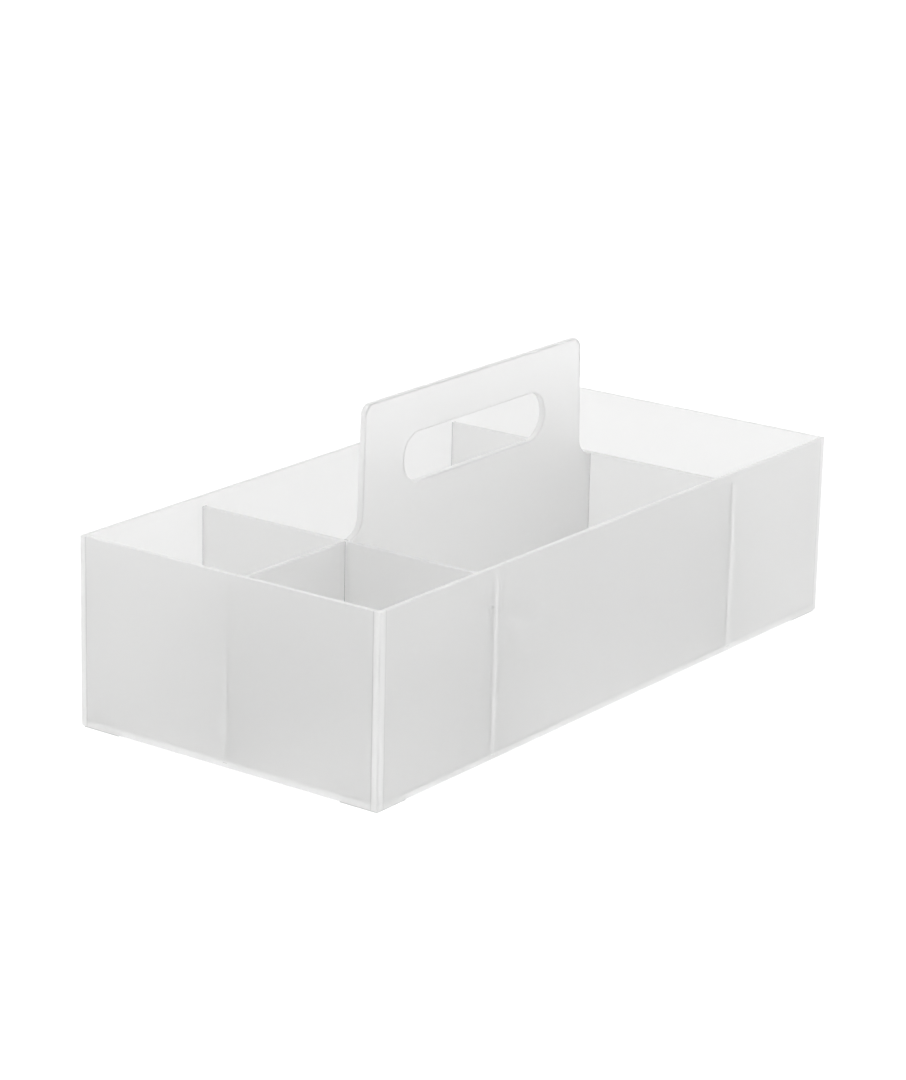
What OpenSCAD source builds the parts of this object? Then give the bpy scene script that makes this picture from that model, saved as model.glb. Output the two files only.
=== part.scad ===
// Desk caddy in frosted plastic: an open tray with full-width cross dividers, a short
// long divider in the left bay, and a tall middle plate that ends in a carrying grip.
// X runs along the tray, Y across it, and Z up from the surface that the feet stand on.

/* [Tray] */
// Outside length of the tray, along X
tray_l = 320; // [280:1:400]
// Outside width of the tray, along Y
tray_w = 150; // [110:1:200]
// Height of the rim above the table
tray_h = 80.5; // [60:0.5:110]
// Thickness of the four walls
wall_t = 2; // [1.6:0.1:3]
// Thickness of the floor
floor_t = 2; // [1.6:0.1:3]
// Radius of the upright outside corners
corner_r = 1; // [0.8:0.1:4]
// Radius of the upright inside corners
inner_corner_r = 0.8; // [0.6:0.1:3]
// Rounding of both edges of the rim
rim_r = 0.5; // [0.2:0.1:0.6]
// Rounding of the outside bottom edge
base_r = 0.5; // [0.2:0.1:0.8]

/* [Feet] */
// How far the feet stand proud of the underside
foot_h = 0.8; // [0.5:0.1:3]
// Length of each arm of a corner foot
foot_arm = 18; // [10:1:40]
// Width of a foot's rib
foot_rib = 3; // [2:0.5:6]
// Distance from the tray's outside faces to the feet
foot_inset = 1; // [1:0.5:4]

/* [Dividers] */
// Thickness of the dividers
divider_t = 2; // [1.6:0.1:3]
// Clear length of the middle bay, between the cross dividers
middle_bay_l = 170; // [160:1:200]
// How far the dividers' tops lie below the rim
divider_drop = 4.5; // [2:0.5:12]
// Rounding of the dividers' top edges
divider_r = 0.5; // [0.2:0.1:0.7]

/* [Carrying plate] */
// Thickness of the carrying plate
plate_t = 3.2; // [2.4:0.1:5]
// Height of the grip's top above the rim
grip_rise = 49; // [45:1:70]
// Width of the grip along its top edge
grip_w = 150; // [125:1:150]
// Lean of the grip's sides, which widen downwards, in degrees
grip_draft = 1.9; // [0.5:0.1:2.5]
// Radius of the grip's two top corners
grip_corner_r = 5; // [3:0.5:12]
// Radius of the hollow curves at the foot of the grip, as far as the bay leaves room
grip_foot_r = 9; // [4:0.5:12]
// Rounding of the edges that a hand touches
grip_edge_r = 0.8; // [0.3:0.1:1.1]

/* [Finger slot] */
// Length of the slot from end to end
slot_l = 98.5; // [80:0.5:104]
// Height of the slot
slot_h = 20.6; // [16:0.2:24]
// Height of the bar that the hand closes round, above the slot
bar_h = 18; // [12:0.5:20]

/* [Hidden] */
frost = "whitesmoke";

// Overrun of every cut past the face that it opens
over = 0.3;
// Angle at which a curve crosses the line that it runs into, in degrees
kink = 6;
// Facets of a full turn, on the wide curves and on the small edge roundings
wide_fn = 96;
edge_fn = 32;

inner_l = tray_l - 2 * wall_t;
inner_w = tray_w - 2 * wall_t;
floor_z = foot_h + floor_t;
divider_z = tray_h - divider_drop;
divider_x = (middle_bay_l + divider_t) / 2;
grip_z = tray_h + grip_rise;
slot_r = slot_h / 2;
slot_z = grip_z - bar_h - slot_r;
slot_reach = slot_l / 2 - slot_r;

// Half width of the grip at a height
function grip_half(z) = grip_w / 2 + (grip_z - z) * tan(grip_draft);

// Radius of the hollow foot. It is limited to the one whose curve runs out level exactly where
// the plate meets a cross divider; a smaller one leaves a level ledge there.
foot_room = middle_bay_l / 2 - grip_half(divider_z);
foot_limit = foot_room / (1 / cos(grip_draft) - tan(grip_draft)) / cos(kink);
has_ledge = grip_foot_r < foot_limit - over;
foot_r = has_ledge ? grip_foot_r : foot_limit;

// Centres of the right-hand hollow foot and top corner. Each curve crosses its two lines at
// the slight angle kink, so the centres lie a little closer to the lines than the radius.
foot_in = foot_r * cos(kink);
foot_c = [grip_half(divider_z + foot_in) + foot_in / cos(grip_draft), divider_z + foot_in];
corner_c = [grip_w / 2 + grip_corner_r * (tan(grip_draft) - 1 / cos(grip_draft)), grip_z - grip_corner_r];
corner_arc_r = grip_corner_r / cos(kink);
side_normal = [cos(grip_draft), sin(grip_draft)];
up = [0, 1];

// What an edge loses when it is rounded: x points out of the piece and y out of its face
module edge_loss(r) {
    difference() {
        translate([-r, -r]) square(r + over);
        translate([-r, -r]) circle(r / cos(kink), $fn = edge_fn);
    }
}

// Flat outline of a rectangle with rounded corners, centred
module round_rect(l, w, r) {
    square([l - 2 * r, w], center = true);
    square([l, w - 2 * r], center = true);
    for (sx = [-1, 1], sy = [-1, 1])
        translate([sx * (l / 2 - r), sy * (w / 2 - r)]) circle(r, $fn = edge_fn);
}

// Carries a profile round the edge of such a rectangle: its x points outwards and its y up
module round_loop(l, w, r) {
    for (turn = [0, 180]) rotate(turn) {
        translate([r - l / 2, w / 2, 0]) rotate([90, 0, 90]) linear_extrude(l - 2 * r) children();
        translate([l / 2, w / 2 - r, 0]) rotate([90, 0, 0]) linear_extrude(w - 2 * r) children();
    }
    for (sx = [0, 1], sy = [0, 1]) mirror([sx, 0, 0]) mirror([0, sy, 0])
        translate([l / 2 - r, w / 2 - r, 0]) rotate_extrude(angle = 90, $fn = edge_fn)
            translate([r, 0]) children();
}

// One corner foot, an L-shaped rib, at the corner where x and y are positive
module corner_foot() {
    translate([tray_l / 2 - foot_inset, tray_w / 2 - foot_inset, 0]) {
        translate([-foot_arm, -foot_rib, 0]) cube([foot_arm, foot_rib, floor_z - floor_t / 2]);
        translate([-foot_rib, -foot_arm, 0]) cube([foot_rib, foot_arm, floor_z - floor_t / 2]);
    }
}

// The moulded tray: floor, four walls and the feet under its corners
module tray() {
    color(frost) {
        difference() {
            translate([0, 0, foot_h]) linear_extrude(tray_h - foot_h)
                round_rect(tray_l, tray_w, corner_r);
            translate([0, 0, floor_z]) linear_extrude(tray_h)
                round_rect(inner_l, inner_w, inner_corner_r);
            translate([0, 0, tray_h]) round_loop(tray_l, tray_w, corner_r) edge_loss(rim_r);
            translate([0, 0, tray_h]) round_loop(inner_l, inner_w, inner_corner_r)
                mirror([1, 0]) edge_loss(rim_r);
            translate([0, 0, foot_h]) round_loop(tray_l, tray_w, corner_r)
                mirror([0, 1]) edge_loss(base_r);
        }
        for (sx = [0, 1], sy = [0, 1]) mirror([sx, 0, 0]) mirror([0, sy, 0]) corner_foot();
    }
}

// A thin upright plate on the floor with a rounded top, standing on y = 0, from x = 0 to l
module divider(l) {
    h = divider_z - floor_z;
    translate([0, 0, floor_z]) rotate([90, 0, 90]) linear_extrude(l) {
        translate([-divider_t / 2, 0]) square([divider_t, h - divider_r]);
        translate([divider_r - divider_t / 2, 0]) square([divider_t - 2 * divider_r, h]);
        for (side = [-1, 1])
            translate([side * (divider_t / 2 - divider_r), h - divider_r])
                circle(divider_r, $fn = edge_fn);
    }
}

// A divider right across the tray, from wall to wall
module cross_divider(side) {
    color(frost)
        translate([side * divider_x, -inner_w / 2, 0]) rotate(90) divider(inner_w);
}

// The divider along the left bay, from the end wall to the left cross divider
module left_long_divider() {
    start = -inner_l / 2;
    end = -divider_x - divider_t / 2;
    color(frost) translate([start, 0, 0]) divider(end - start);
}

// Right-hand outline of the plate before its curves are cut, from the floor up, with y as height
plate_side = [
    [middle_bay_l / 2, floor_z],
    [middle_bay_l / 2, foot_c[1]],
    [grip_half(foot_c[1]), foot_c[1]],
    [grip_w / 2, grip_z]
];

// Outline of the carrying plate, without its slot
module plate_outline() {
    last = len(plate_side) - 1;
    difference() {
        polygon(concat(plate_side, [for (i = [last:-1:0]) [-plate_side[i][0], plate_side[i][1]]]));
        for (side = [0, 1]) mirror([side, 0]) {
            translate(foot_c) circle(foot_r, $fn = wide_fn);
            if (has_ledge) translate([foot_c[0], divider_z]) square([foot_room, foot_r + over]);
            translate(corner_c) difference() {
                polygon(2 * corner_arc_r * [[0, 0], side_normal, side_normal + up, up]);
                circle(corner_arc_r, $fn = wide_fn);
            }
        }
    }
}

// Outline of the finger slot
module slot_outline() {
    square([2 * slot_reach, slot_h], center = true);
    for (side = [-1, 1]) translate([side * slot_reach, 0]) circle(slot_r, $fn = wide_fn);
}

// Rounding along a straight edge from p to q, with the open side on the left of the way
module line_loss(p, q) {
    way = q - p;
    translate([p[0], p[1], plate_t / 2]) rotate(atan2(way[1], way[0])) rotate([90, 0, 90])
        linear_extrude(norm(way)) edge_loss(grip_edge_r);
}

// Rounding along an arc round c. A hollow arc has its open side towards c.
module arc_loss(c, r, start, turn, hollow = false) {
    translate([c[0], c[1], plate_t / 2]) rotate(start) rotate_extrude(angle = turn, $fn = wide_fn)
        translate([r, 0]) mirror([hollow ? 1 : 0, 0]) edge_loss(grip_edge_r);
}

// Rounding of the grip's right-hand side. Each curve's rounding runs on past its kinks.
module side_loss() {
    arc_loss(corner_c, corner_arc_r, grip_draft, 90 - grip_draft);
    line_loss([grip_w / 2, grip_z], foot_c - foot_in * side_normal);
    arc_loss(foot_c, foot_r, 180 + grip_draft - 2 * kink, 90 - grip_draft + 4 * kink, hollow = true);
    if (has_ledge) line_loss([foot_c[0], divider_z], [middle_bay_l / 2 + over, divider_z]);
}

// Everything that rounding takes from one face of the plate
module face_loss() {
    line_loss([-grip_w / 2, grip_z], [grip_w / 2, grip_z]);
    for (side = [0, 1]) mirror([side, 0, 0]) side_loss();
    translate([0, slot_z, 0]) for (turn = [0, 180]) rotate(turn) {
        line_loss([slot_reach, slot_r], [-slot_reach, slot_r]);
        arc_loss([slot_reach, 0], slot_r, -90, 180, hollow = true);
    }
}

// The middle plate: a long divider below, and above the rim a grip with a finger slot
module carrying_plate() {
    color(frost) rotate([90, 0, 0]) difference() {
        linear_extrude(plate_t, center = true) plate_outline();
        translate([0, slot_z, 0]) linear_extrude(plate_t + 2 * over, center = true) slot_outline();
        for (face = [0, 1]) mirror([0, 0, face]) face_loss();
    }
}

tray();
cross_divider(-1);  // left_cross_divider
cross_divider(1);  // right_cross_divider
left_long_divider();
carrying_plate();
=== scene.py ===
# %% [markdown]
# # A frosted plastic caddy and its finish
#
# The object is a moulded box of milky, see-through plastic: an open tray, three dividers and a
# tall middle plate that ends in a carrying grip. Its solids come from the CAD model, in metres,
# standing on Z = 0. This lesson gives them the finish of the real plastic, with painted light and
# shade at its bands, joints and edges. It adds the small fillets that a mould leaves, and sets up
# a pale table, soft light and the camera of the photograph.

# %% Load the CAD frame
import math

import bpy
from mathutils import Matrix, Vector


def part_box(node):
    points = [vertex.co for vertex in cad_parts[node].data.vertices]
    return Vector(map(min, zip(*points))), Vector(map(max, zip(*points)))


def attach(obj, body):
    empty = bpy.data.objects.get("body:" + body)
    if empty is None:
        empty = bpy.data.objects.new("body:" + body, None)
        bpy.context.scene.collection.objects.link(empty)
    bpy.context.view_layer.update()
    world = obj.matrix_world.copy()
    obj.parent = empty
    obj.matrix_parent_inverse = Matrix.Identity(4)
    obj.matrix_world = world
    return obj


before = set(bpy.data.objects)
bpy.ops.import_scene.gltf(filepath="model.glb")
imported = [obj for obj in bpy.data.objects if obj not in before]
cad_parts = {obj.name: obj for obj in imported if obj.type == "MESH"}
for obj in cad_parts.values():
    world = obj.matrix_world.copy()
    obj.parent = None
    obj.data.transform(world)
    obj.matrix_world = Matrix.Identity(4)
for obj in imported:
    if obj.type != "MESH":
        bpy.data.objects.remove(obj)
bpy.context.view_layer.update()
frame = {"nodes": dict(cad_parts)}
scene = bpy.context.scene
MM = 0.001

# %% [markdown]
# ## The sizes that the finish follows
#
# Frosted plastic looks different where two sheets of it meet, so the material has to know where
# the walls, the floor and the dividers are. Every size is read from the CAD nodes. A cross
# divider runs from wall to wall and stands on the floor, so its ends give the walls' thickness
# and its foot gives the floor's height. The floor is as thick as the walls. All of these sizes
# are in millimetres, and those with half in their name count from the middle of the tray.

# %% Measure the pieces
tray_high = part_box("tray")[1]
cross_low, cross_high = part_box("right_cross_divider")
plate_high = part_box("carrying_plate")[1]
half_l = tray_high.x / MM
half_w = tray_high.y / MM
rim_z = tray_high.z / MM
divider_z = cross_high.z / MM
divider_x = (cross_low.x + cross_high.x) / 2 / MM
divider_half = (cross_high.x - cross_low.x) / 2 / MM
plate_half_l = plate_high.x / MM
plate_half_t = plate_high.y / MM
grip_z = plate_high.z / MM
floor_z = cross_low.z / MM
inner_half_w = cross_high.y / MM
wall_t = half_w - inner_half_w
inner_half_l = half_l - wall_t
foot_h = floor_z - wall_t
print(f"walls {wall_t:.2f} mm, floor top {floor_z:.2f} mm, dividers at {divider_x:.1f} mm")

# %% [markdown]
# ## Shader maths as plain sums
#
# A material is a graph of nodes, and sums are hard to read as a graph. This small class wraps
# one output socket. The usual operators on it add Math nodes, so a mask can be written as a sum.
# Every other node comes from one method, which takes the node's type, its settings and what
# goes into its sockets.

# %% A wrapped socket
class Wire:
    def __init__(self, tree, socket=None):
        self.tree = tree
        self.socket = socket

    def node(self, kind, settings=None, output=0, **inputs):
        """The output of a new node. Its inputs go by name, or by number as in _0."""
        made = self.tree.nodes.new(kind if "Node" in kind else "ShaderNode" + kind)
        for name, value in (settings or {}).items():
            setattr(made, name, value)
        for name, value in inputs.items():
            key = int(name[1:]) if name[0] == "_" else name.replace("_", " ")
            if isinstance(value, Wire):
                self.tree.links.new(value.socket, made.inputs[key])
            else:
                made.inputs[key].default_value = value
        return Wire(self.tree, made.outputs[output])

    def math(self, operation, *values):
        sockets = {f"_{i}": value for i, value in enumerate(values)}
        return self.node("Math", {"operation": operation}, **sockets)

    def __add__(self, other):
        return self.math("ADD", self, other)

    def __sub__(self, other):
        return self.math("SUBTRACT", self, other)

    def __rsub__(self, other):
        return self.math("SUBTRACT", other, self)

    def __mul__(self, other):
        return self.math("MULTIPLY", self, other)

    def __abs__(self):
        return self.math("ABSOLUTE", self)

    def __or__(self, other):
        return self.math("MAXIMUM", self, other)

    __radd__ = __add__
    __rmul__ = __mul__

    def above(self, edge, soft):
        """1 where the value is over edge and 0 where it is under, over a width of soft."""
        return self.node("MapRange", {"interpolation_type": "SMOOTHSTEP"}, Value=self,
                         From_Min=edge - soft / 2, From_Max=edge + soft / 2)

    def below(self, edge, soft):
        return 1 - self.above(edge, soft)

    def near(self, middle, half, soft):
        """1 within half of middle, on both sides."""
        return abs(self - middle).below(half, soft)


print("shader sums are ready")

# %% [markdown]
# ## Painted light and shade on the outside of the tray
#
# Frosted plastic shows how it is put together. At each corner of the real box there is a lighter
# band, a little wider than the wall is thick, because the light there runs along the sheet
# behind. Here that band is painted light: a denser, lighter shader is mixed into the wall. A
# darker hairline, painted shade, stands on the band's inner side. Another lighter band, also
# painted light, runs along the foot of the walls, where the floor's edge meets them. A faint
# line of painted shade lies above it.
#
# Such places could be painted on an image. The masks below work them out from the Object
# coordinates instead, which are the frame's own. They need no unwrapping, they stay sharp from
# close by, and one material serves every piece.

# %% Masks for painted light and shade on the outside of the walls
# Lengths are in mm, and shares are parts of a mask's full strength.
SKIN, FADE = 0.9, 0.6                           # how deep an outside face counts, and its fade
# The bands are painted light, and the hairlines are painted shade.
END_BAND, SIDE_BAND, BAND_FADE = 0.6, 1.0, 0.9  # reach past the walls' inside faces, and fade
ROUNDED, ROUNDED_LOSS = 0.7, 0.75               # rounded corner, and the share that it loses
FOOT_BAND, FOOT_BAND_FADE = 0.7, 1              # reach above the floor, and fade
END_LINE, SIDE_LINE, FOOT_LINE = 1.3, 1.6, 1.5  # from the inside faces to the hairlines
SIDE_LINE_SHARE, FOOT_LINE_SHARE, FOOT_BAND_SHARE = 0.6, 0.1, 0.6


def position(tree):
    """Object coordinates in millimetres, as x, y, z, |x| and |y|."""
    start = Wire(tree)
    place = start.node("TexCoord", output="Object")
    x, y, z = (start.node("SeparateXYZ", output=i, Vector=place) * (1 / MM) for i in range(3))
    return place, x, y, z, abs(x), abs(y)


def outer_faces(ax, ay):
    """The outside faces of the end walls and of the side walls."""
    return ax.above(half_l - SKIN, FADE), ay.above(half_w - SKIN, FADE)


def painted_light_bands(z, ax, ay):
    """Painted light: the walls' ends at the corners, and the floor's edge under all four walls."""
    on_end, on_side = outer_faces(ax, ay)
    corners = ((on_end * ay.above(inner_half_w - END_BAND, BAND_FADE))
               | (on_side * ax.above(inner_half_l - SIDE_BAND, BAND_FADE)))
    rounding = ax.above(half_l - ROUNDED, FADE) * ay.above(half_w - ROUNDED, FADE)
    foot = (on_end | on_side) * z.below(floor_z + FOOT_BAND, FOOT_BAND_FADE) * FOOT_BAND_SHARE
    return (corners * (1 - ROUNDED_LOSS * rounding)) | foot


def painted_shade_lines(z, ax, ay):
    """Painted shade: darker lines beside those bands, clear at the corners, faint above the floor.
    """
    on_end, on_side = outer_faces(ax, ay)
    ends = on_end * ay.near(inner_half_w - END_LINE, half=0.25, soft=0.4)
    sides = on_side * ax.near(inner_half_l - SIDE_LINE, half=0.3, soft=0.4) * SIDE_LINE_SHARE
    foot = z.near(floor_z + FOOT_LINE, half=0.4, soft=0.8) * FOOT_LINE_SHARE
    return ends | sides | ((on_end | on_side) * foot)


print("bands start", round(inner_half_w - END_BAND, 2), "mm and",
      round(inner_half_l - SIDE_BAND, 2), "mm from the middle")

# %% [markdown]
# ## What stands inside
#
# Where a divider touches a wall, the wall's outside shows a faint lighter stripe. It is painted
# light, for the light that the divider carries into the wall. It ends at the divider's top, and the
# stripe of the divider along the left bay shows on one end wall only. The second mask finds
# everything that stands inside the tray. Those sheets get a little less milk than the walls and
# are painted lighter too, to make up for the light that the walls around them keep out.

# %% Masks for dividers and for what they touch
SPREAD, SPREAD_FADE = 0.3, 0.8      # mm that a stripe is wider on each side, and its fade
END_STRIPE_SHARE = 0.4
GAP = 0.1                           # mm kept from the tray's inside faces


def painted_contact_light(x, z, ax, ay):
    """Painted light: lighter stripes on the outside faces behind which a divider stands."""
    on_end, on_side = outer_faces(ax, ay)
    behind_sides = on_side * ax.near(divider_x, divider_half + SPREAD, SPREAD_FADE)
    behind_end = on_end * x.below(0, 1) * ay.below(divider_half, FADE) * END_STRIPE_SHARE
    middle, half = (floor_z + divider_z) / 2, (divider_z - floor_z) / 2
    return (behind_sides | behind_end) * z.near(middle, half - SPREAD, FADE)


def inner_sheets(z, ax, ay):
    """Everything that stands inside the tray."""
    return (ax.below(inner_half_l - GAP, GAP) * ay.below(inner_half_w - GAP, GAP)
            * z.above(floor_z + GAP, GAP))


print("stripes", round(2 * (divider_half + SPREAD), 2), "mm wide, up to", round(divider_z, 2), "mm")

# %% [markdown]
# ## Edges, with painted light and shade
#
# A cut or moulded edge of such a sheet gets the denser shader mixed in, so that a rim reads as an
# even, pale line. That pale line is painted light, standing for the light that the sheet carries
# out at its edge. The edges are found from the direction in which the surface faces: a rim faces
# up, and the grip's edge faces away from Y. That follows the slot's round ends and the hollow
# curves at the grip's foot without any outline of them. The roundings beside the grip's edge are
# painted a little darker again. This is painted shade, for the dark line that rounded glass shows.

# %% Masks for the painted light of edges and the painted shade of roundings
TOUCH = 0.06                        # mm within which a face counts as lying in a plane
STEP = 0.2                          # mm over which a mask fades at a height
MARGIN = 1                          # mm of room where a mask only has to hold a whole edge
FACING_UP = (0.6, 0.5)              # Z part of a rim's direction, and its fade
FACING_OFF = (0.3, 0.4)             # Y part of the direction of the grip's edges, and its fade
FACING_ROUND = (0.6, 0.25, 0.2)     # Y part on the roundings: middle, half range and fade


def painted_edge_light_and_shade(tree, z, ax, ay):
    """Painted light on the narrow edges, painted shade on roundings by the grip's and slot's edges.
    """
    facing = Wire(tree).node("NewGeometry", output=1)
    across, up = (abs(Wire(tree).node("SeparateXYZ", output=i, Vector=facing)) for i in (1, 2))
    tops = up.above(*FACING_UP) * z.above(divider_z - MARGIN, STEP) * z.below(rim_z + STEP, STEP)
    on_plate = (ax.below(plate_half_l + MARGIN, MARGIN)
                * ay.below(plate_half_t + TOUCH, TOUCH) * z.above(divider_z, STEP))
    edges = tops | (across.below(*FACING_OFF) * on_plate)
    return edges, across.near(*FACING_ROUND) * on_plate


print("edges between", round(divider_z, 2), "mm and", round(grip_z, 2), "mm above the table")

# %% [markdown]
# ## Hidden joints
#
# The real box is one moulding, so light crosses from a wall into a divider without meeting a
# surface. Here the pieces are separate solids that touch, and two touching faces would trap the
# light and turn black. Merging the solids would cure that, but then they would no longer be
# separate pieces. So one more mask finds these hidden faces, and the material lets rays pass
# straight through them. Optically the five pieces are then one.

# %% Mask for the hidden joints
SOFT = 0.18     # mm over which a joint fades at the dividers' tops
FILLET = 0.2    # mm, radius of the fillets that are added later


def joints(x, y, z, ax, ay):
    """The hidden faces on which two pieces touch, out to the ends of the fillets beside them."""
    low = z.below(divider_z, SOFT)
    on_cross = ax.near(divider_x, divider_half, TOUCH)
    on_middle = ax.below(plate_half_l, TOUCH) * ay.below(plate_half_t, TOUCH)
    on_left = x.below(-divider_x, TOUCH) * ay.below(divider_half, TOUCH)
    cross_ends = (ay.near(inner_half_w, TOUCH, TOUCH)
                  * ax.near(divider_x, divider_half + FILLET, TOUCH))
    left_start = (x.near(-inner_half_l, TOUCH, TOUCH)
                  * ay.below(divider_half + FILLET, TOUCH))
    left_end = (x.near(-divider_x - divider_half, TOUCH, TOUCH)
                * ay.below(divider_half + FILLET, TOUCH))
    plate_ends = (ax.near(plate_half_l, TOUCH, TOUCH)
                  * ay.below(plate_half_t + FILLET / 2, TOUCH))
    floor = z.near(floor_z, TOUCH, TOUCH) * (on_cross | on_middle | on_left)
    return ((cross_ends | left_start | plate_ends | left_end) * low) | floor


print("joints at the floor, the walls and", round(plate_half_l, 2), "mm either side of the middle")

# %% [markdown]
# ## The frosted plastic
#
# The real plastic is white polypropylene with a fine matte texture from the mould. Things behind
# it stay sharp where they touch it and dissolve a few centimetres away. Glass with a rough
# surface does exactly that, and a translucent share stands for the milk in the sheet.
# Subsurface scattering could stand for it too, but sheets this thin don't need it. What stands
# inside holds less of that milk, and so do the bands at the corners. A denser, milky shader is
# mixed in at bands, contact stripes, edges and feet. At the bands, stripes and edges it is
# painted light. Painted shade darkens the hairlines and roundings, and the sheets inside are
# painted lighter. The tones below were set against the photograph, wall by wall.

# %% Choose the tones
CLEAR_COLOUR = (0.947, 0.947, 0.945, 1)     # the tray's sheets
CLOUD_COLOUR = (0.954, 0.954, 0.952, 1)     # where they are a little clearer
# Painted light: the sheets that stand inside are lighter, for the light that the walls keep out.
INNER_LIGHTENED_COLOUR = (0.998, 0.998, 0.996, 1)     # the dividers and the lower part of the plate
# Painted shade: the tone of the hairlines and of the dark roundings.
PAINTED_SHADE_COLOUR = (0.76, 0.76, 0.756, 1)        # hairlines and roundings
# Painted light: the tones of the lighter bands and stripes, the pale rims and the grip's edges.
BAND_LIGHT_COLOUR = (0.97, 0.97, 0.966, 1)        # the ends of the walls
EDGE_LIGHT_COLOUR = (0.83, 0.83, 0.826, 1)        # rims and the dividers' tops
GRIP_EDGE_LIGHT_COLOUR = (0.93, 0.93, 0.925, 1)        # the edges of the grip and of its slot
FOOT_COLOUR = (0.68, 0.68, 0.675, 1)        # the ribs under the corners
# Shares of the painted light at bands, stripes and edges, of the ribs' tone, and of painted shade.
BAND_SHARE, CONTACT_SHARE, EDGE_SHARE, FOOT_SHARE = 0.27, 0.27, 0.6, 0.9
ROUNDING_SHADE_SHARE = 0.2
FOOT_FADE, GRIP_FADE = 0.1, 8               # mm over which the feet's and the grip's tones set in
# How much of the painted, lighter inner tone the sheets get, and how much it fades up the grip.
INNER_SHARE, INNER_LOSS = 0.95, 0.8         # the inner tone, and what it loses up the grip
MILK, MILK_LOSS_INSIDE, MILK_LOSS_IN_BANDS = 0.35, 0.18, 0.2
ROUGHNESS, SMEAR, GRIP_SHINE, BAND_SHINE = 0.43, 0.06, 0.05, 0.06
GLASS_SHARE, PLASTIC_IOR = 0.9, 1.49
CLOUD_SCALE, SMEAR_SCALE, GRAIN_SCALE = 14, 160, 2600   # noise cells in a metre
GRAIN_STRENGTH, GRAIN_HEIGHT = 0.12, 0.00003            # of the matte texture, height in metres


def blend(amount, first, second):
    """A colour between two others."""
    return amount.node("Mix", {"data_type": "RGBA"}, output=2, _0=amount, _6=first, _7=second)


def noise(place, scale, roughness, detail=2, distortion=0):
    return place.node("TexNoise", Vector=place, Scale=scale, Detail=detail,
                      Roughness=roughness, Distortion=distortion)


print("open sheet", CLEAR_COLOUR[:3], "with", MILK, "of milk at roughness", ROUGHNESS)

# %% [markdown]
# The shader has two colours: that of the see-through sheet, with slow clouds in it, and that of
# the dense milk. The first holds the painted shade of hairlines and roundings and the painted
# lighter tone inside. The second holds the painted light of bands, stripes and edges. Only
# colours, roughness, bumps and the mix change over the surface, because those are what a baked
# export can carry. All other sockets hold plain numbers.

# %% Build the material
def sheet_colours(place, z, shade_lines, edges, feet, inner, grip):
    """The see-through sheet's colour, with painted light and shade, and the milk's, with painted
    light.
    """
    cloud = noise(place, CLOUD_SCALE, roughness=0.5, detail=3, distortion=0.6)
    up_the_grip = z.above((rim_z + grip_z) / 2, grip_z - rim_z)
    sheet = blend(cloud, CLEAR_COLOUR, CLOUD_COLOUR)
    # Painted light: the sheets inside are lighter, and less so up the grip.
    sheet = blend(inner * (INNER_SHARE - INNER_LOSS * up_the_grip), sheet, INNER_LIGHTENED_COLOUR)
    # Painted light: the dense milk's tones at bands, stripes, rims and the grip's edges.
    milk = blend(edges, BAND_LIGHT_COLOUR, blend(grip, EDGE_LIGHT_COLOUR, GRIP_EDGE_LIGHT_COLOUR))
    # Painted shade darkens the sheet at hairlines and roundings. The ribs take their own tone.
    return blend(shade_lines, sheet, PAINTED_SHADE_COLOUR), blend(feet, milk, FOOT_COLOUR)


def frosted_plastic():
    material = bpy.data.materials.new("frosted_plastic")
    material.use_nodes = True
    tree = material.node_tree
    tree.nodes.clear()
    place, x, y, z, ax, ay = position(tree)
    add = place.node
    # Painted light: bands, contact stripes and edges. Painted shade: hairlines and roundings.
    bands = painted_light_bands(z, ax, ay)
    contact_light = painted_contact_light(x, z, ax, ay)
    edges, rounding_shade = painted_edge_light_and_shade(tree, z, ax, ay)
    feet = z.below(foot_h - FOOT_FADE / 2, FOOT_FADE)
    inner = inner_sheets(z, ax, ay)
    grip = z.above(rim_z, GRIP_FADE)
    shade_lines = painted_shade_lines(z, ax, ay) | (rounding_shade * ROUNDING_SHADE_SHARE)
    sheet_colour, painted_light_and_rib_colour = sheet_colours(place, z, shade_lines, edges, feet, inner, grip)

    smear = noise(place, SMEAR_SCALE, roughness=0.55)
    rough = ROUGHNESS + SMEAR * smear - GRIP_SHINE * grip - BAND_SHINE * bands
    bumps = add("Bump", Strength=GRAIN_STRENGTH, Distance=GRAIN_HEIGHT,
                Height=noise(place, GRAIN_SCALE, roughness=0.6))
    surface = {"Roughness": rough, "IOR": PLASTIC_IOR, "Normal": bumps}
    clear = add("BsdfPrincipled", Base_Color=sheet_colour, Transmission_Weight=GLASS_SHARE,
                **surface)
    milk = add("BsdfTranslucent", Color=sheet_colour, Normal=bumps)
    sheet = add("MixShader", _0=MILK - MILK_LOSS_INSIDE * inner - MILK_LOSS_IN_BANDS * bands,
                _1=clear, _2=milk)
    dense = add("BsdfPrincipled", Base_Color=painted_light_and_rib_colour, **surface)
    # The dense shader's share: painted light at bands, stripes and edges, and the ribs' tone.
    share = ((bands * BAND_SHARE) | (contact_light * CONTACT_SHARE) | (edges * EDGE_SHARE)
             | (feet * FOOT_SHARE))
    visible = add("MixShader", _0=share, _1=sheet, _2=dense)
    whole = add("MixShader", _0=joints(x, y, z, ax, ay), _1=visible, _2=add("BsdfTransparent"))
    target = tree.nodes.new("ShaderNodeOutputMaterial")
    tree.links.new(whole.socket, target.inputs["Surface"])
    print("frosted plastic with", len(tree.nodes), "nodes")
    return material


plastic = frosted_plastic()

# %% [markdown]
# ## Dress the pieces
#
# The CAD pieces already have their final shape, so they only get the material, in the slots
# that they came with.

# %% Put the plastic on the pieces
for piece in frame["nodes"].values():
    for slot in piece.material_slots:
        slot.material = plastic
print("dressed:", ", ".join(frame["nodes"]))

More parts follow.
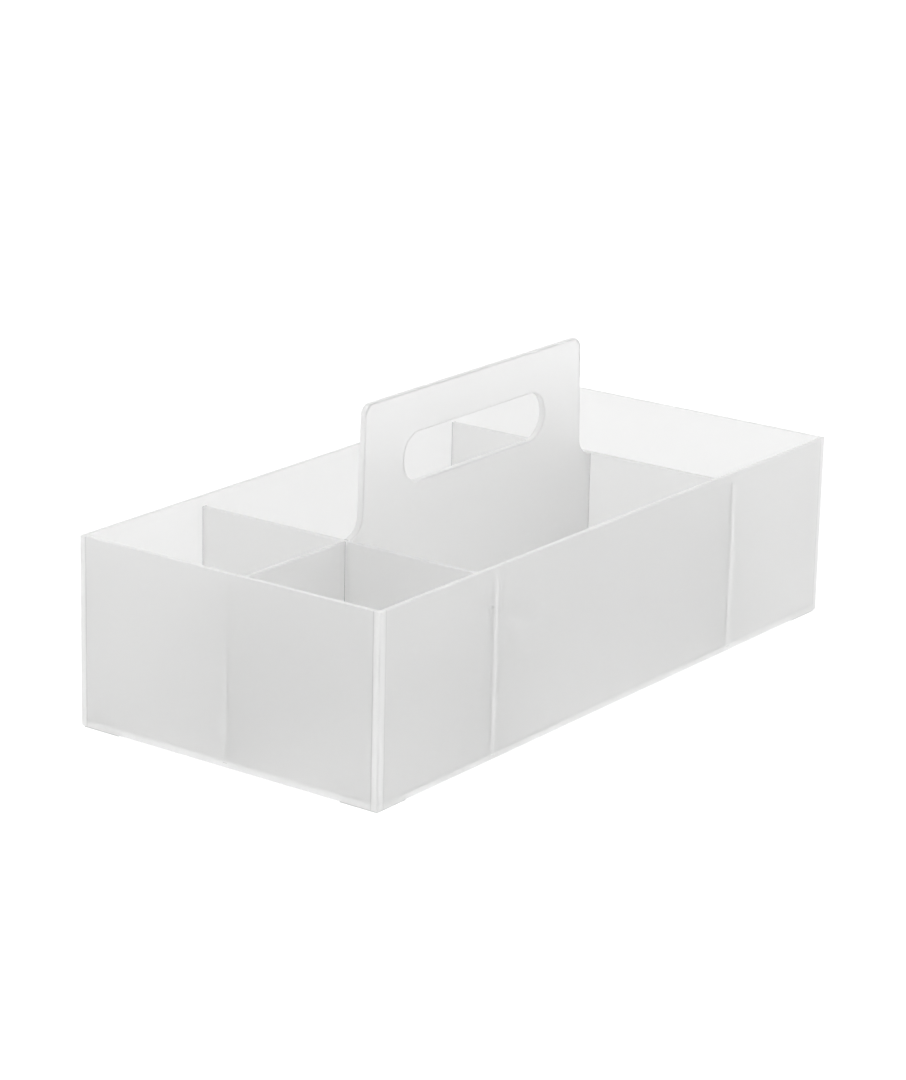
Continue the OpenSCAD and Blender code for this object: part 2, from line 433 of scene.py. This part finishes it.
# %% [markdown]
# ## The fillets of the mould
#
# A mould can't have a knife-sharp inside corner, so thin fillets run along the floor of each of
# the five bays and up the corners where the dividers stand. In the photograph they are the dark
# hairlines in those corners. A Bevel modifier can't make them, because most of them lie between
# two separate pieces. They all have one section and differ only in place, direction and length,
# which is what Geometry Nodes are good at: one short strip, copied to many points.
#
# The section is a quarter arc with its centre point drawn back into the corner. It is swept
# along a line one metre long, and each copy is then scaled along that line to its own length.

# %% Build the tree for the fillets
FACETS = 5      # of the quarter arc


def fillet_sockets(tree):
    """Gives the tree its inputs and its output, and returns the inputs as wires."""
    kinds = {"Starts": "Geometry", "Radius": "Float", "Facets": "Int", "Finish": "Material"}
    for name, kind in kinds.items():
        tree.interface.new_socket(name, in_out="INPUT", socket_type="NodeSocket" + kind)
    tree.interface.new_socket("Fillets", in_out="OUTPUT", socket_type="NodeSocketGeometry")
    given = tree.nodes.new("NodeGroupInput").outputs
    return [Wire(tree, given[name]) for name in kinds]


def fillet_section(radius, facets):
    """A hollow quarter arc, closed through the corner at the origin."""
    add = radius.node
    arc = add("GeometryNodeCurveArc", Resolution=facets + 1, Radius=radius, Start_Angle=math.pi,
              Sweep_Angle=math.pi / 2, Connect_Center=True)
    at_centre = add("FunctionNodeCompare", {"data_type": "INT", "operation": "EQUAL"},
                    _2=add("GeometryNodeInputIndex"), _3=facets + 1)
    to_corner = add("CombineXYZ", X=radius * -1, Y=radius * -1)
    wedge = add("GeometryNodeSetPosition", Geometry=arc, Selection=at_centre, Offset=to_corner)
    back = add("CombineXYZ", X=radius, Y=radius)
    return add("GeometryNodeTransform", Geometry=wedge, Translation=back)


def fillet_tree():
    tree = bpy.data.node_groups.new("fillets", "GeometryNodeTree")
    starts, radius, facets, finish = fillet_sockets(tree)
    add = starts.node
    line = add("GeometryNodeCurvePrimitiveLine", Start=(0, 0, 0), End=(0, 0, 1))
    section = fillet_section(radius, facets)
    strip = add("GeometryNodeCurveToMesh", Curve=line, Profile_Curve=section, Fill_Caps=True)
    strip = add("GeometryNodeFlipFaces", Mesh=strip)
    turn = add("GeometryNodeInputNamedAttribute", {"data_type": "FLOAT_VECTOR"}, Name="turn")
    run = add("GeometryNodeInputNamedAttribute", {"data_type": "FLOAT"}, Name="run")
    copies = add("GeometryNodeInstanceOnPoints", Points=starts, Instance=strip,
                 Rotation=add("FunctionNodeEulerToRotation", Euler=turn),
                 Scale=add("CombineXYZ", X=1, Y=1, Z=run))
    solid = add("GeometryNodeRealizeInstances", Geometry=copies)
    dressed = add("GeometryNodeSetMaterial", Geometry=solid, Material=finish)
    tree.links.new(dressed.socket, tree.nodes.new("NodeGroupOutput").inputs["Fillets"])
    return tree


print("the fillets' section has", FACETS, "facets")

# %% [markdown]
# The tree needs one point for each strip. A strip starts a radius away from the corner, so that
# two strips meet and don't overlap. Each point carries its turn, in radians about X, Y and Z,
# and its run, in metres. The tray's own four corners are rounded already and get no upright
# strip. The others stop just under the rounded tops of the dividers.

# %% Find where the fillets run
TOP_GAP = 0.6       # mm from the upright strips' tops to the dividers' tops


def fillet_starts():
    """Start, turn and length in mm of the strip at every inside corner of the five bays."""
    inner_x, outer_x = divider_x - divider_half, divider_x + divider_half
    bays = [(-inner_half_l, -outer_x, -inner_half_w, -divider_half),
            (-inner_half_l, -outer_x, divider_half, inner_half_w),
            (-inner_x, inner_x, -inner_half_w, -plate_half_t),
            (-inner_x, inner_x, plate_half_t, inner_half_w),
            (outer_x, inner_half_l, -inner_half_w, inner_half_w)]
    strips = []
    for x0, x1, y0, y1 in bays:
        corners = [(x0, y0), (x1, y0), (x1, y1), (x0, y1)]
        for k, (x, y) in enumerate(corners):
            heading = math.radians(90 * k)
            far = corners[(k + 1) % 4]
            run = abs(far[0] - x) + abs(far[1] - y) - 2 * FILLET
            start = (x + FILLET * math.cos(heading), y + FILLET * math.sin(heading), floor_z)
            strips.append((start, (math.pi / 2, 0, heading + math.pi / 2), run))
            if abs(x) != inner_half_l or abs(y) != inner_half_w:
                foot = (x, y, floor_z + FILLET)
                strips.append((foot, (0, 0, heading), divider_z - TOP_GAP - foot[2]))
    return strips


strips = fillet_starts()
print(len(strips), "strips, the longest", round(max(run for *_, run in strips), 1), "mm")

# %% [markdown]
# The modifier's inputs are set by the sockets' identifiers. The evaluated result is turned into
# a plain mesh, so that the guide and its modifier can go before the piece joins the frame.

# %% Make the fillets
def guide_points(strips):
    """An object with one point for each strip."""
    mesh = bpy.data.meshes.new("fillet_starts")
    mesh.from_pydata([[v * MM for v in start] for start, _, _ in strips], [], [])
    turns = [angle for _, turn, _ in strips for angle in turn]
    runs = [run * MM for *_, run in strips]
    mesh.attributes.new("turn", "FLOAT_VECTOR", "POINT").data.foreach_set("vector", turns)
    mesh.attributes.new("run", "FLOAT", "POINT").data.foreach_set("value", runs)
    guide = bpy.data.objects.new("fillet_guide", mesh)
    scene.collection.objects.link(guide)
    return guide


def make_fillets(strips, finish):
    guide = guide_points(strips)
    tree = fillet_tree()
    modifier = guide.modifiers.new("fillets", "NODES")
    modifier.node_group = tree
    sockets = {s.name: s.identifier for s in tree.interface.items_tree if s.in_out == "INPUT"}
    modifier[sockets["Radius"]] = FILLET * MM
    modifier[sockets["Facets"]] = FACETS
    modifier[sockets["Finish"]] = finish
    depsgraph = bpy.context.evaluated_depsgraph_get()
    solid = bpy.data.meshes.new_from_object(guide.evaluated_get(depsgraph))
    bpy.data.objects.remove(guide)
    piece = bpy.data.objects.new("inside_fillets", solid)
    scene.collection.objects.link(piece)
    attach(piece, "root")
    print(len(strips), "fillets,", len(solid.polygons), "faces")


make_fillets(strips, plastic)

# %% [markdown]
# ## The table
#
# Translucent things are photographed on a white table that glows, so that no shadow gathers
# under them and the box is as light at its foot as at its rim. A large plane does for it. It
# isn't part of the object, so it hangs from no body.

# %% Make the table
TABLE_HALF = 20.0       # m
TABLE_WHITE, TABLE_ROUGHNESS, TABLE_GLOW = 0.4, 0.9, 0.8


def pale_table():
    mesh = bpy.data.meshes.new("table")
    corners = [(-1, -1), (1, -1), (1, 1), (-1, 1)]
    mesh.from_pydata([(TABLE_HALF * a, TABLE_HALF * b, 0) for a, b in corners], [], [(0, 1, 2, 3)])
    table = bpy.data.objects.new("table", mesh)
    scene.collection.objects.link(table)
    material = bpy.data.materials.new("white_table")
    material.use_nodes = True
    shader = material.node_tree.nodes["Principled BSDF"]
    shader.inputs["Base Color"].default_value = (TABLE_WHITE, TABLE_WHITE, TABLE_WHITE, 1)
    shader.inputs["Roughness"].default_value = TABLE_ROUGHNESS
    shader.inputs["Emission Color"].default_value = (1, 1, 1, 1)
    shader.inputs["Emission Strength"].default_value = TABLE_GLOW
    mesh.materials.append(material)
    print("table", 2 * TABLE_HALF, "m across")


pale_table()

# %% [markdown]
# ## Light
#
# The photograph has no hard shadow and no highlight: white comes from everywhere. A ring of
# lamps could give that, but each of them would show in the plastic. An even white world doesn't,
# and one large soft light overhead brightens rims and rounded edges a little.

# %% Light the scene
def white_room(strength):
    world = bpy.data.worlds.new("white_room")
    world.use_nodes = True
    background = world.node_tree.nodes["Background"]
    background.inputs["Color"].default_value = (1, 1, 1, 1)
    background.inputs["Strength"].default_value = strength
    scene.world = world
    print("white room at", strength)


def soft_light(name, place, aim, size, power):
    light = bpy.data.lights.new(name, "AREA")
    light.shape = "RECTANGLE"
    light.size, light.size_y = size
    light.energy = power
    lamp = bpy.data.objects.new(name, light)
    scene.collection.objects.link(lamp)
    lamp.location = place
    lamp.rotation_mode = "QUATERNION"
    lamp.rotation_quaternion = (Vector(aim) - Vector(place)).to_track_quat("-Z", "Y")
    print(name, "light of", power, "W")


white_room(strength=0.93)
soft_light("overhead", place=(0.2, 0.3, 1.5), aim=(0, 0, 0.05), size=(1.4, 1.4), power=1.4)

# %% [markdown]
# ## The camera
#
# The camera was fitted to the photograph: known corners of the box were matched to the places
# where they appear. Yaw turns it from looking along +Y towards +X, pitch tips it down, and roll
# turns the picture. The lens is the focal length in pixels, scaled to a 36 mm sensor that spans
# the picture's long side of 1080 pixels.

# %% Place the camera
YAW, PITCH, ROLL = (math.radians(v) for v in (53.886, 17.205, -1.287))
FOCAL_PIXELS, LONG_SIDE, SENSOR = 3630.2, 1080, 36.0
DISTANCE = 1.5245                       # m from the point that it was aimed at
AIM = Vector((0, 0, 0.0408))
SIDESTEP, DROP = -0.00717, -0.01428     # m to the right and down, in the picture's directions
BOUNCES = 32                            # a ray may cross many of the box's surfaces


def photo_camera():
    forward = Vector((math.sin(YAW) * math.cos(PITCH), math.cos(YAW) * math.cos(PITCH),
                      -math.sin(PITCH)))
    level = Vector((math.cos(YAW), -math.sin(YAW), 0))
    down = forward.cross(level)
    right = math.cos(ROLL) * level + math.sin(ROLL) * down
    down = -math.sin(ROLL) * level + math.cos(ROLL) * down
    camera = bpy.data.objects.new("photo_camera", bpy.data.cameras.new("photo_camera"))
    scene.collection.objects.link(camera)
    camera.data.sensor_width = SENSOR
    camera.data.lens = FOCAL_PIXELS / LONG_SIDE * SENSOR
    turn = Matrix((right, -down, -forward)).transposed().to_4x4()
    turn.translation = AIM - forward * DISTANCE + right * SIDESTEP + down * DROP
    camera.matrix_world = turn
    scene.camera = camera
    place = tuple(round(v, 3) for v in turn.translation)
    print(f"camera at {place}, lens {camera.data.lens:.1f} mm")


photo_camera()
scene.view_settings.view_transform = "Standard"
scene.cycles.max_bounces = scene.cycles.transmission_bounces = BOUNCES
